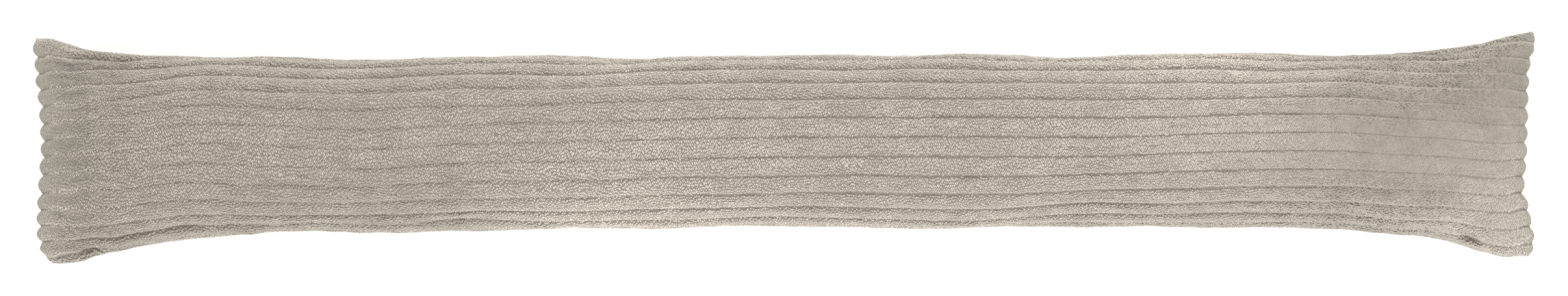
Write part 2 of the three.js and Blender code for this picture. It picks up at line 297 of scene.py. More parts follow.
@dataclass(frozen=True)
class CoverShape:
    """The shape of the stuffed cover, in millimetres: any wale at any place along it.

    A place is u, from minus to plus half the length. A wale is a number from 0 to
    wale_count, counted round the cover from its rear edge over the face, whole in the
    valleys and a half on the crests.
    """

    length: float = 880
    wale_count: int = 27
    wale_height: float = 3.2
    wale_roundness: float = 2.8

    # How deep the valleys are on the crown and at the ends
    crown_wale: float = 7.1
    crown_share: float = 0.21
    crown_facing: float = 0.96
    crown_fade: float = 0.55
    end_share: float = 0.10
    end_share_reach: dict[End, float] = field(default_factory=lambda: {End.LEFT: 70, End.RIGHT: 150})

    # The scallops and the seams at the ends
    scallop_depth: dict[End, float] = field(default_factory=lambda: {End.LEFT: 2.7, End.RIGHT: 2.0})
    scallop_reach: float = 12
    notch_roundness: float = 1.9
    notch_from_edge: float = 0.5
    notch_fade: float = 0.5
    seam_reach: float = 60
    pile_rounding: float = 5
    pile_at_seam: float = 0.45
    seam_half_thickness: float = 0.8
    seam_fold_under: float = 0.35

    # The outline across, on the floor and at the flat ends
    floor_gap: float = 1.2
    floor_softness: float = 4
    edge_bluntness: float = 0.35
    ear_sharpness: float = 0.3
    ear_reach: float = 110
    underside_fullness: float = 0.72
    outline_steps: int = 720

    def from_end(self, u: np.ndarray | float) -> np.ndarray | float:
        """How far a place is from its nearer end."""
        return self.length / 2 - np.abs(u)

    def section(self, u: float) -> Section:
        """The section at a place, on a smooth curve through the rows of SECTIONS.

        Args:
            u: The place along the cushion.

        Returns:
            A section with every column read off at u.
        """
        rows = np.array(SECTIONS)
        xs = rows[:, 0]
        last = len(xs) - 1
        k = int(np.clip(np.searchsorted(xs, u, "left") - 1, 0, last - 1))

        def slope(i: int) -> np.ndarray:
            """The rows' slope at row i, from its two neighbours."""
            a, b = max(0, i - 1), min(last, i + 1)
            return (rows[b] - rows[a]) / (xs[b] - xs[a])

        span = xs[k + 1] - xs[k]
        t = float(np.clip((u - xs[k]) / span, 0, 1))
        row = rows[k] + (rows[k + 1] - rows[k]) * smooth_step(t)
        row = row + t * (1 - t) ** 2 * span * slope(k) + t * t * (t - 1) * span * slope(k + 1)
        return Section(*row)

    def pile_share(self, from_end: float) -> float:
        """The share of its full height that the pile has near an end seam."""
        rounded = math.sqrt(1 - (1 - min(1.0, max(0.0, from_end / self.pile_rounding))) ** 2)
        return self.pile_at_seam + (1 - self.pile_at_seam) * rounded

    def depth_share(self, nz: np.ndarray, u: float) -> np.ndarray:
        """The share of its full depth that a valley has: less on the crown and at the ends.

        Args:
            nz: How far each point of the skin faces up or down.
            u: The place along the cushion.

        Returns:
            A share for each point.
        """
        side = smooth_step((self.crown_facing - np.abs(nz)) / self.crown_fade)
        across = self.crown_share + (1 - self.crown_share) * side
        full = smooth_step(self.from_end(u) / self.end_share_reach[End.nearer(u)])
        return across * (self.end_share + (1 - self.end_share) * full)

    def outline(self, u: float) -> np.ndarray:
        """The ground cloth's outline across the cushion, under the pile.

        Args:
            u: The place along the cushion.

        Returns:
            Rows of y, z, and the direction ny, nz in which the pile stands, from the
            rear edge over the crown to the near edge and back underneath.
        """
        at = self.section(u)
        from_end = self.from_end(u)
        pile = self.wale_height * self.pile_share(from_end)
        rear, near = at.rear - pile, at.near + pile
        half = (rear - near) / 2
        above = max(self.seam_half_thickness, at.crown - at.side - pile)
        full = float(smooth_step(from_end / self.ear_reach))
        below = self.seam_half_thickness + (at.side + self.floor_softness) * math.sqrt(full * (2 - full))
        top_power = 1 + self.ear_sharpness * (1 - full)
        under_power = self.underside_fullness + (top_power - self.underside_fullness) * (1 - full)
        angle = np.linspace(0, 2 * np.pi, self.outline_steps, endpoint=False)
        lift = np.abs(np.sin(angle))
        y = (rear + near) / 2 + half * np.cos(angle)
        hang = at.side - below * lift**under_power - self.floor_gap
        under = self.floor_gap + (hang + np.hypot(hang, self.floor_softness * full)) / 2
        is_under = np.sin(angle) < 0
        z = np.where(is_under, under, at.side + above * lift**top_power)
        square = unit(np.stack([np.roll(z, -1) - np.roll(z, 1), np.roll(y, 1) - np.roll(y, -1)], 1))
        depth = np.maximum(np.where(is_under, below, above), self.edge_bluntness * half)
        blunt = unit(np.stack([depth * np.cos(angle), half * np.sin(angle)], 1))
        return np.column_stack([y, z, unit(blunt + (square - blunt) * full)])

    def nearby(self, patches: Sequence[Patch], u: np.ndarray | float, wale: np.ndarray) -> np.ndarray:
        """The sum of local changes, each fading out round its place.

        Args:
            patches: PINCHES, BENDS or PAINTED_LIGHT_AND_SHADE.
            u: The place along the cushion, or one for each wale.
            wale: The wales to add the changes up on.

        Returns:
            One sum for each wale.
        """
        total = np.zeros_like(wale)
        for patch in patches:
            away = wale - patch.wale
            away = away - self.wale_count * np.round(away / self.wale_count)
            total += patch.amount * bell((u - patch.x) / patch.reach) * bell(away / patch.spread)
        return total

    def swell(self, u: float, wale: np.ndarray) -> np.ndarray:
        """The height of the filling's slow waves.

        Args:
            u: The place along the cushion.
            wale: The wales to find it on.

        Returns:
            One height for each wale.
        """
        total = np.zeros_like(wale)
        for wave in SWELLS:
            turn = 2 * np.pi * (u / wave.length + wave.around * wale / self.wale_count) + wave.phase
            total += wave.height * np.sin(turn)
        return total

    def seam_set_back(self, y: np.ndarray, end: End) -> np.ndarray:
        """How far in from the full length one end's seam lies.

        Args:
            y: Where across the cushion to find it.
            end: Which end's seam it is.

        Returns:
            One distance for each y.
        """
        rows = np.array(SEAM_LINE)
        ys, column = rows[:, 0], rows[:, 1 if end is End.LEFT else 2]
        k = np.clip(np.searchsorted(-ys, -y, "left"), 1, len(ys) - 1)
        t = smooth_step((ys[k - 1] - y) / (ys[k - 1] - ys[k]))
        return column[k - 1] + (column[k] - column[k - 1]) * t

    def ring(self, u: float, wale: np.ndarray, lift: np.ndarray) -> np.ndarray:
        """The skin at one place along the cushion.

        Args:
            u: The place along the cushion.
            wale: The wales to find points for.
            lift: How far to raise each point further off the ground cloth.

        Returns:
            One point for each wale, in millimetres, before the cushion is centred.
        """
        at, end, from_end = self.section(u), End.nearer(u), self.from_end(u)
        outline = self.outline(u)
        closed = np.vstack([outline, outline[:1]])
        steps = np.hypot(*np.diff(closed[:, :2], axis=0).T)
        run = np.concatenate([[0.0], np.cumsum(steps)])
        top_run, whole_run = run[self.outline_steps // 2], run[-1]
        seen = at.near_wale - at.rear_wale
        place = np.mod(wale - at.rear_wale + self.nearby(BENDS, u, wale), self.wale_count)
        on_top = place <= seen
        under_run = top_run + (whole_run - top_run) * (place - seen) / (self.wale_count - seen)
        goal = np.where(on_top, top_run * place / seen, under_run)
        y, z, ny, nz = (np.interp(goal, run, closed[:, c]) for c in range(4))

        full = self.wale_height * self.pile_share(from_end)
        out = full - full * self.depth_share(nz, u) * from_crest(wale) ** self.wale_roundness
        out = out - self.nearby(PINCHES, u, wale) * smooth_step(from_end / self.scallop_reach)
        out = out + self.swell(u, wale) * smooth_step(from_end / self.seam_reach) + lift

        under_edge = np.minimum(place - seen, self.wale_count - place)
        to_edge = np.where(on_top, np.minimum(place, seen - place), under_edge)
        notch = np.where(on_top, from_crest(wale) ** self.notch_roundness, 1.0)
        notch = notch * smooth_step((to_edge - self.notch_from_edge) / self.notch_fade)
        notch = self.scallop_depth[end] * notch * (1 - smooth_step(from_end / self.scallop_reach))
        set_back = self.seam_set_back(y, end) * (1 - smooth_step(from_end / self.seam_reach))
        x = u - end.value * (notch + set_back)
        return np.stack([x, y + ny * out, np.maximum(0.0, z + nz * out)], 1)

    def grid(self, places: np.ndarray, wales: np.ndarray, lift: np.ndarray) -> np.ndarray:
        """The skin at many places along the cushion, as rings by wales by x, y and z.

        Args:
            places: The places along the cushion.
            wales: The wales to find points for.
            lift: How far to raise each point off the ground cloth, rings by wales.

        Returns:
            The points, in millimetres, before the cushion is centred.
        """
        return np.stack([self.ring(u, wales, row) for u, row in zip(places, lift)])

    def fold_under(self, points: np.ndarray, end: End) -> np.ndarray:
        """An end ring folded back under the scallops to the seam, where it is closed.

        Args:
            points: The ring at that end of the cushion.
            end: Which end it is.

        Returns:
            The ring at the seam, as many points as before.
        """
        u = end.value * self.length / 2
        middle = self.section(u).side
        back = self.scallop_depth[end] + self.seam_set_back(points[:, 1], end)
        z = middle + (points[:, 2] - middle) * self.seam_fold_under
        return np.stack([u - end.value * back, points[:, 1], z], 1)


@dataclass(frozen=True)
class Lumps:
    """The uneven lie of the pile: soft random lumps over the cover, in millimetres."""

    height: float = 0.16
    seed: int = 11
    along_mm: float = 5.0
    across_wales: float = 0.22
    rows: int = 600
    columns: int = 540

    def field(self, length: float, wales: int) -> np.ndarray:
        """Lumps on an even grid over the cover, closed round it.

        Args:
            length: The length of the cover, along the grid's rows.
            wales: How many wales the grid's columns cover.

        Returns:
            A grid of heights, rows by columns.
        """
        noise = np.random.default_rng(self.seed).standard_normal((self.rows, self.columns))
        along = np.fft.fftfreq(self.rows, length / self.rows)[:, None] * self.along_mm
        across = np.fft.fftfreq(self.columns, wales / self.columns)[None, :] * self.across_wales
        soft = np.fft.ifft2(np.fft.fft2(noise) * np.exp(-2 * (along**2 + across**2) * np.pi)).real
        return self.height * soft / soft.std()


@dataclass
class Skin:
    """The cover's skin in the scene: its shape and lumps, standing where the CAD cushion is."""

    shape: CoverShape
    lumps: Lumps
    calm_end_mm: float = 8
    shift: np.ndarray = field(default_factory=lambda: np.zeros(3))

    def __post_init__(self) -> None:
        """Works out the lumps once."""
        self.relief = self.lumps.field(self.shape.length, self.shape.wale_count)

    def lift(self, places: np.ndarray, wales: np.ndarray) -> np.ndarray:
        """The lumps' height, which fades out at the ends.

        Args:
            places: The places along the cushion.
            wales: The wales.

        Returns:
            Places by wales, in millimetres.
        """
        rows, columns = self.relief.shape
        row = (places / self.shape.length + 0.5) * (rows - 1)
        column = np.mod(wales / self.shape.wale_count, 1.0) * columns
        calm = smooth_step(self.shape.from_end(places) / self.calm_end_mm)[:, None]
        return read_between(self.relief, row[:, None], column[None, :]) * calm

    def settle(self, box: tuple[Vector, Vector], places: np.ndarray, wales: np.ndarray) -> None:
        """Centres the skin in the CAD cushion's box and sets it on the floor.

        Args:
            box: The lowest and highest corner that the CAD cushion has, in metres.
            places: The places along the cushion to measure the skin at.
            wales: The wales to measure it at.
        """
        flat = self.shape.grid(places, wales, np.zeros((len(places), len(wales)))).reshape(-1, 3) * MM
        low, high = flat.min(0), flat.max(0)
        self.shift = (np.array(box[0]) + np.array(box[1])) / 2 - (low + high) / 2
        self.shift[2] = box[0][2] - low[2]

    def points(self, places: np.ndarray, wales: np.ndarray, sunk: float) -> np.ndarray:
        """The skin, sunk by so many millimetres below the tops of the pile.

        Args:
            places: The places along the cushion.
            wales: The wales.
            sunk: How far below the tops of the pile the skin is wanted.

        Returns:
            Rings by wales by x, y and z, in metres, where the CAD cushion stands.
        """
        under = sunk * smooth_step(self.shape.from_end(places) / self.shape.pile_rounding)[:, None]
        return self.shape.grid(places, wales, self.lift(places, wales) - under) * MM + self.shift


class Wiring:
    """One node tree, with short ways to add nodes to it and join them."""

    def __init__(self, tree: bpy.types.NodeTree) -> None:
        """Takes the tree."""
        self.tree = tree

    def declare(self, in_out: str, kinds: dict[str, str]) -> None:
        """Gives the tree named inputs or outputs of its own, each of a kind such as Float."""
        for name, kind in kinds.items():
            self.tree.interface.new_socket(name, in_out=in_out, socket_type="NodeSocket" + kind)

    def feed(self, node: bpy.types.Node, inputs: Inputs) -> None:
        """Links or sets some of a node's inputs.

        Args:
            node: The node.
            inputs: An output of another node or a plain value, by the input's name or number.
        """
        for key, value in inputs.items():
            if isinstance(value, Socket):
                self.tree.links.new(value, node.inputs[key])
            else:
                node.inputs[key].default_value = value

    def add(self, kind: str, inputs: Inputs, **settings: object) -> bpy.types.Node:
        """Adds a node.

        Args:
            kind: Its type.
            inputs: What goes into it, as for feed.
            settings: Its own settings.

        Returns:
            The node.
        """
        node = self.tree.nodes.new(kind)
        for name, value in settings.items():
            setattr(node, name, value)
        self.feed(node, inputs)
        return node

    def first(self, kind: str, inputs: Inputs, **settings: object) -> Socket:
        """Adds a node as add does, and gives its first output."""
        return self.add(kind, inputs, **settings).outputs[0]

    def maths(self, operation: str, *values: object) -> Socket:
        """The result of a math node on outputs or numbers."""
        return self.first("ShaderNodeMath", dict(enumerate(values)), operation=operation)

    def fade(self, value: Socket, start: float, end: float) -> Socket:
        """A soft mask that goes from 0 to 1 as value goes from start to end."""
        inputs = {"Value": value, "From Min": start, "From Max": end}
        return self.first("ShaderNodeMapRange", inputs, interpolation_type="SMOOTHSTEP")

    def mix(self, factor: Socket, under: Socket | Colour, over: Colour) -> Socket:
        """One colour covered by another.

        Args:
            factor: How far it is covered, from 0 to 1.
            under: The colour underneath, plain or another node's.
            over: The colour that covers it.

        Returns:
            The mixed colour.
        """
        low = under if isinstance(under, Socket) else (*under, 1.0)
        inputs = {"Factor": factor, "A": low, "B": (*over, 1.0)}
        return self.add("ShaderNodeMix", inputs, data_type="RGBA").outputs["Result"]


@dataclass(frozen=True)
class CordPileFinish:
    """Matt stone-beige cord pile: chevron rows of loops; a darker ground and painted shade in the
    valleys.
    """

    name: str = "cord_pile"
    roughness: float = 0.92
    sheen: float = 0.22
    sheen_roughness: float = 0.55
    sheen_tint: Colour = (1.0, 0.96, 0.9)
    specular: float = 0.2

    # Colours, and where along the cushion they change
    crest: Colour = (0.26, 0.234, 0.196)
    root: Colour = (0.225, 0.202, 0.169)
    ground: Colour = (0.235, 0.21, 0.175)
    combed: Colour = (0.305, 0.276, 0.232)
    left_end: Colour = (0.305, 0.276, 0.233)
    calm_from_m: float = -0.40
    calm_to_m: float = -0.43
    # Where the painted shade along the valleys fades in
    clear_from_m: float = -0.36
    clear_to_m: float = -0.05
    combed_from_m: float = 0.12
    combed_to_m: float = 0.40
    mottle_scale: float = 70
    mottle_detail: float = 4
    mottle_range: tuple[float, float] = (0.3, 0.7)
    mottle_shade: tuple[float, float] = (0.93, 1.06)

    # The single loops, from their darkest to their lightest tone
    loop_dark: Colour = (0.24, 0.216, 0.186)
    loop_light: Colour = (0.60, 0.551, 0.482)
    loop_mottle_scale: float = 60
    loop_mottle_detail: float = 3
    tone_weight: float = 1.6
    tone_range: tuple[float, float] = (0.18, 2.1)

    # The fine rows of loops in the ground cloth
    loops_per_arm: float = 3.0
    loop_height_m: float = 0.00035
    bump_strength: float = 0.9
    warp_scale: float = 0.9
    warp_detail: float = 2
    warp_stretch: tuple[float, float, float] = (0.35, 4.0, 1.0)
    warp_rows: float = 2.2
    bead_twist: float = 1.9
    bead_share: float = 0.45
    valley_from: float = 0.88

    def start(self, name: str) -> tuple[bpy.types.Material, Wiring, bpy.types.Node]:
        """A new material with the pile's dull sheen.

        Args:
            name: The material's name.

        Returns:
            The material, the wiring of its nodes, and its shader.
        """
        made = bpy.data.materials.new(name)
        made.use_nodes = True
        wiring, shader = Wiring(made.node_tree), made.node_tree.nodes["Principled BSDF"]
        wiring.feed(shader, {
            "Roughness": self.roughness, "Specular IOR Level": self.specular,
            "Sheen Weight": self.sheen, "Sheen Roughness": self.sheen_roughness,
            "Sheen Tint": (*self.sheen_tint, 1.0),
        })
        return made, wiring, shader

    def material(self) -> bpy.types.Material:
        """The finish of the ground cloth, on the cover's own cloth coordinates.

        Returns:
            A new material of procedural nodes.
        """
        made, wiring, shader = self.start(self.name)
        weave = wiring.add("ShaderNodeGroup", {
            "Cloth": wiring.first("ShaderNodeUVMap", {}, uv_map="Cloth"),
            "Pitch mm": ROW_PITCH_MM, "Lean": ROW_LEAN, "Loops": self.loops_per_arm,
        }, node_tree=self.loops_group())
        height, valley = weave.outputs["Height"], weave.outputs["Valley"]
        place = wiring.add("ShaderNodeTexCoord", {}).outputs["Object"]
        along = wiring.first("ShaderNodeSeparateXYZ", {0: place})
        clear = wiring.fade(along, self.clear_from_m, self.clear_to_m)
        colour = wiring.mix(height, self.root, self.crest)
        colour = wiring.mix(wiring.fade(along, self.combed_from_m, self.combed_to_m), colour, self.combed)
        # Painted shade along the valleys, over the ground cloth's own darker colour, from the left third
        # onwards
        colour = wiring.mix(wiring.maths("MULTIPLY", valley, clear), colour, self.ground)
        colour = wiring.mix(wiring.fade(along, self.calm_from_m, self.calm_to_m), colour, self.left_end)
        mottle = wiring.first("ShaderNodeTexNoise", {
            "Vector": place, "Scale": self.mottle_scale, "Detail": self.mottle_detail,
        })
        shade = wiring.first("ShaderNodeMapRange", {
            "Value": mottle, "From Min": self.mottle_range[0], "From Max": self.mottle_range[1],
            "To Min": self.mottle_shade[0], "To Max": self.mottle_shade[1],
        })
        uneven = wiring.first("ShaderNodeVectorMath", {0: colour, "Scale": shade}, operation="SCALE")
        bump = wiring.first("ShaderNodeBump", {
            "Strength": self.bump_strength, "Distance": self.loop_height_m, "Height": height,
        })
        wiring.feed(shader, {"Base Color": uneven, "Normal": bump})
        return made

    def loops_material(self) -> bpy.types.Material:
        """The finish of the pile's single loops, each a little lighter or darker.

        Returns:
            A new material that reads each loop's tone.
        """
        made, wiring, shader = self.start(self.name + "_loops")
        tone = wiring.add("ShaderNodeAttribute", {}, attribute_name="tone").outputs["Fac"]
        mottle = wiring.first("ShaderNodeTexNoise", {
            "Vector": wiring.add("ShaderNodeTexCoord", {}).outputs["Object"],
            "Scale": self.loop_mottle_scale, "Detail": self.loop_mottle_detail,
        })
        spread = wiring.first("ShaderNodeMapRange", {
            "Value": wiring.maths("MULTIPLY_ADD", tone, self.tone_weight, mottle),
            "From Min": self.tone_range[0], "From Max": self.tone_range[1],
        })
        wiring.feed(shader, {"Base Color": wiring.mix(spread, self.loop_dark, self.loop_light)})
        return made

    def loops_group(self) -> bpy.types.ShaderNodeTree:
        """A node group that turns cloth coordinates into loop height and valley depth.

        Returns:
            The group, with Height and Valley from 0 to 1.
        """
        group = bpy.data.node_groups.new("cord_loops", "ShaderNodeTree")
        wiring = Wiring(group)
        maths = wiring.maths
        sizes = dict.fromkeys(("Pitch mm", "Lean", "Loops"), "Float")
        wiring.declare("INPUT", {"Cloth": "Vector", **sizes})
        wiring.declare("OUTPUT", {"Height": "Float", "Valley": "Float"})
        entry = wiring.add("NodeGroupInput", {}).outputs
        cloth = wiring.add("ShaderNodeSeparateXYZ", {0: entry["Cloth"]}).outputs
        stretched = {0: entry["Cloth"], 1: self.warp_stretch}
        warp = wiring.first("ShaderNodeTexNoise", {
            "Vector": wiring.first("ShaderNodeVectorMath", stretched, operation="MULTIPLY"),
            "Scale": self.warp_scale, "Detail": self.warp_detail,
        })
        away = maths("MULTIPLY", maths("FRACT", cloth["Y"]), 2.0)
        away = maths("ABSOLUTE", maths("SUBTRACT", away, 1.0))
        lean = maths("MULTIPLY", entry["Lean"], maths("SUBTRACT", 1.0, away))
        rows = maths("DIVIDE", cloth["X"], entry["Pitch mm"])
        turn = maths("MULTIPLY", maths("SUBTRACT", warp, 0.5), self.warp_rows)
        phase = maths("ADD", maths("SUBTRACT", rows, lean), turn)
        ridge = maths("MULTIPLY_ADD", maths("COSINE", maths("MULTIPLY", phase, 2 * math.pi)), 0.5, 0.5)
        beads = maths("MULTIPLY", maths("MULTIPLY", away, entry["Loops"]), 2 * math.pi)
        beads = maths("COSINE", maths("ADD", beads, maths("MULTIPLY", phase, self.bead_twist)))
        beads = maths("MULTIPLY_ADD", beads, 0.5, 0.5)
        bead = maths("MULTIPLY_ADD", beads, self.bead_share, 1 - self.bead_share)
        valley = wiring.fade(away, self.valley_from, 1.0)
        wiring.add("NodeGroupOutput", {"Height": maths("MULTIPLY", ridge, bead), "Valley": valley})
        return group


@dataclass
class Cover:
    """The stuffed cover: one closed mesh of ground cloth, under the tops of the pile."""

    skin: Skin
    finish: CordPileFinish
    name: str = "stuffed_cover"
    node: str = "cushion"
    middle_spans: int = 330
    end_crowding: float = 0.25
    end_rings: tuple[float, ...] = (0.0, 0.35, 0.9, 1.7, 2.7, 3.8, 5.0, 6.4)
    wale_steps: tuple[float, ...] = (0.0, 0.06, 0.14, 0.25, 0.38, 0.5, 0.62, 0.75, 0.86, 0.94)
    sunk: float = 0.55
    fill: float = 0.9

    def places(self) -> np.ndarray:
        """Where the mesh's rings stand along the cushion, closer near its ends.

        Returns:
            The places, from the left end to the right.
        """
        half = self.skin.shape.length / 2
        open_half = half - self.end_rings[-1]
        t = np.linspace(-1, 1, self.middle_spans + 1)[1:-1]
        middle = open_half * (self.end_crowding * np.sin(t * np.pi / 2) + (1 - self.end_crowding) * t)
        right = half - np.array(self.end_rings[::-1])
        return np.concatenate([-right[::-1], middle, right])

    def wales(self) -> np.ndarray:
        """The wales of the points round one ring."""
        whole = np.arange(self.skin.shape.wale_count)[:, None]
        return (whole + np.array(self.wale_steps)[None, :]).ravel()

    def points(self) -> np.ndarray:
        """Every point of the ground cloth, with the seams' folded rings outermost.

        Returns:
            Rings by steps by x, y and z, in metres.
        """
        shape, shift = self.skin.shape, self.skin.shift
        rings = self.skin.points(self.places(), self.wales(), self.sunk)
        first = shape.fold_under((rings[0] - shift) / MM, End.LEFT) * MM + shift
        last = shape.fold_under((rings[-1] - shift) / MM, End.RIGHT) * MM + shift
        return np.concatenate([first[None], rings, last[None]])

    @staticmethod
    def cap(points: np.ndarray, first: int, end: End) -> list[tuple[int, int, int]]:
        """Faces that close a seam ring, zipped from its rear edge along both sides.

        Args:
            points: The seam ring.
            first: The index of its first point in the mesh.
            end: Which end it closes.

        Returns:
            Triangles of point indices, facing out.
        """
        count = len(points)
        above = below = int(np.argmax(points[:, 1]))
        faces = []
        while (above + 1) % count != below:
            next_above, next_below = (above + 1) % count, (below - 1) % count
            take_above = points[next_above][1] > points[next_below][1]
            third = next_above if take_above else next_below
            if above != below:
                face = (above + first, below + first, third + first)
                faces.append(face if end is End.LEFT else face[::-1])
            if take_above:
                above = next_above
            else:
                below = next_below
        return faces

    def build(self) -> bpy.types.Object:
        """Makes the cover, closed and smooth-shaded, with its cloth coordinates.

        Returns:
            The new object.
        """
        points = self.points()
        rings, around = points.shape[:2]
        j, i = np.meshgrid(np.arange(rings - 1), np.arange(around), indexing="ij")
        a, b = j * around + i, j * around + (i + 1) % around
        quads = np.stack([a, b, b + around, a + around], -1).reshape(-1, 4)
        caps = self.cap(points[0], 0, End.LEFT)
        caps += self.cap(points[-1], (rings - 1) * around, End.RIGHT)
        mesh = bpy.data.meshes.new(self.name)
        mesh.from_pydata(points.reshape(-1, 3).tolist(), [], quads.tolist() + caps)
        mesh.polygons.foreach_set("use_smooth", np.ones(len(mesh.polygons), dtype=bool))
        self.add_cloth_coordinates(mesh, len(quads), around)
        made = bpy.data.objects.new(self.name, mesh)
        bpy.context.scene.collection.objects.link(made)
        LOG.info("%s: %d points, %d faces", self.name, len(mesh.vertices), len(mesh.polygons))
        return made

    def add_cloth_coordinates(self, mesh: bpy.types.Mesh, quads: int, around: int) -> None:
        """Gives each corner its place on the cloth: millimetres along, and wales across.

        Args:
            mesh: The cover's mesh, its quads before its caps.
            quads: How many quads it has.
            around: How many points each ring has.
        """
        shape, places = self.skin.shape, self.places()
        places = np.concatenate([places[:1], places, places[-1:]])
        corners = np.empty(len(mesh.loops), dtype=np.int32)
        mesh.loops.foreach_get("vertex_index", corners)
        along = places[corners // around]
        step = corners % around
        across = self.wales()[step]
        first_steps = np.repeat(step[: quads * 4 : 4], 4)
        wraps = np.flatnonzero((first_steps == around - 1) & (step[: quads * 4] == 0))
        across[wraps] = shape.wale_count
        cloth = mesh.uv_layers.new(name="Cloth")
        cloth.data.foreach_set("uv", np.column_stack([along, across]).astype(np.float32).ravel())
        bake = mesh.uv_layers.new(name="OFBake")
        sheet = np.column_stack([along / shape.length + 0.5, across / shape.wale_count])
        sheet = BAKE_MARGIN + (1 - 2 * BAKE_MARGIN) * sheet
        bake.data.foreach_set("uv", sheet.astype(np.float32).ravel())

    def dress(self, made: bpy.types.Object) -> None:
        """Puts the finish on, and says what the cover stands for.

        Args:
            made: The cover's object.
        """
        made.data.materials.append(self.finish.material())
        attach(made, "root")
        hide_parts(self.node)


@dataclass(frozen=True)
class Grain:
    """One loop of the pile, in millimetres, and the node tree that sets it on every point."""

    length: float = 2.8
    width: float = 1.2
    height: float = 0.70
    sunk: float = 0.15
    sides: int = 4
    top: float = 0.5
    skew: float = 0.2
    tilt: float = 0.17
    size_spread: float = 0.16
    seed: int = 5
    size_seed_step: float = 17

    def inputs(self) -> dict[str, float | int]:
        """What the tree's modifier is given, by the tree's own names: lengths in metres.

        Returns:
            A value for each input but the geometry.
        """
        lengths = {"Length": self.length, "Width": self.width, "Height": self.height, "Sunk": self.sunk}
        metres = {name: size * MM for name, size in lengths.items()}
        return {**metres, "Tilt": self.tilt, "Spread": self.size_spread, "Seed": self.seed}

    def tree(self, material: bpy.types.Material) -> bpy.types.NodeTree:
        """A node tree that sets a grain on every point, turned and sized by its attributes.

        Args:
            material: What the grains are made of.

        Returns:
            The tree, ready for a modifier.
        """
        tree = bpy.data.node_groups.new("lay_pile", "GeometryNodeTree")
        wiring = Wiring(tree)
        kinds = {name: "Int" if name == "Seed" else "Float" for name in self.inputs()}
        wiring.declare("INPUT", {"Geometry": "Geometry", **kinds})
        wiring.declare("OUTPUT", {"Geometry": "Geometry"})
        entry = wiring.add("NodeGroupInput", {}).outputs
        tilt, spread, seed = entry["Tilt"], entry["Spread"], entry["Seed"]

        def vector(*parts: object) -> Socket:
            """Three outputs or numbers as one vector."""
            return wiring.first("ShaderNodeCombineXYZ", dict(enumerate(parts)))

        def attribute(label: str) -> Socket:
            """A named vector attribute of the points."""
            return wiring.first("GeometryNodeInputNamedAttribute", {0: label}, data_type="FLOAT_VECTOR")

        grain = wiring.first("GeometryNodeMeshCone", {
            "Vertices": self.sides, "Radius Top": 0.0, "Radius Bottom": self.top, "Depth": 1.0,
        }, fill_type="NGON")
        skewed = {"Geometry": grain, "Rotation": (0.0, 0.0, self.skew)}
        grain = wiring.first("GeometryNodeTransform", {
            "Geometry": wiring.first("GeometryNodeTransform", skewed),
            "Translation": vector(0.0, 0.0, wiring.maths("MULTIPLY", entry["Sunk"], -1.0)),
            "Scale": vector(entry["Length"], entry["Width"], entry["Height"]),
        })
        facing = wiring.first("FunctionNodeAxesToRotation", {
            0: attribute("stand"), 1: attribute("lie"),
        }, primary_axis="Z", secondary_axis="X")
        back = wiring.maths("MULTIPLY", tilt, -1.0)
        turn = wiring.first("FunctionNodeRandomValue", {
            0: vector(back, back, back), 1: vector(tilt, tilt, tilt), "Seed": seed,
        }, data_type="FLOAT_VECTOR")
        turned = {0: facing, 1: wiring.first("FunctionNodeEulerToRotation", {0: turn})}
        vary = wiring.add("FunctionNodeRandomValue", {
            2: wiring.maths("SUBTRACT", 1.0, spread), 3: wiring.maths("ADD", 1.0, spread),
            "Seed": wiring.maths("ADD", seed, self.size_seed_step),
        }, data_type="FLOAT")
        sized = {0: attribute("size"), "Scale": vary.outputs[1]}
        laid = wiring.first("GeometryNodeInstanceOnPoints", {
            "Points": entry["Geometry"], "Instance": grain,
            "Rotation": wiring.first("FunctionNodeRotateRotation", turned, rotation_space="LOCAL"),
            "Scale": wiring.first("ShaderNodeVectorMath", sized, operation="SCALE"),
        })
        real = wiring.first("GeometryNodeRealizeInstances", {"Geometry": laid})
        soft = wiring.first("GeometryNodeSetShadeSmooth", {"Geometry": real})
        painted = wiring.first("GeometryNodeSetMaterial", {"Geometry": soft, "Material": material})
        wiring.add("NodeGroupOutput", {"Geometry": painted})
        return tree


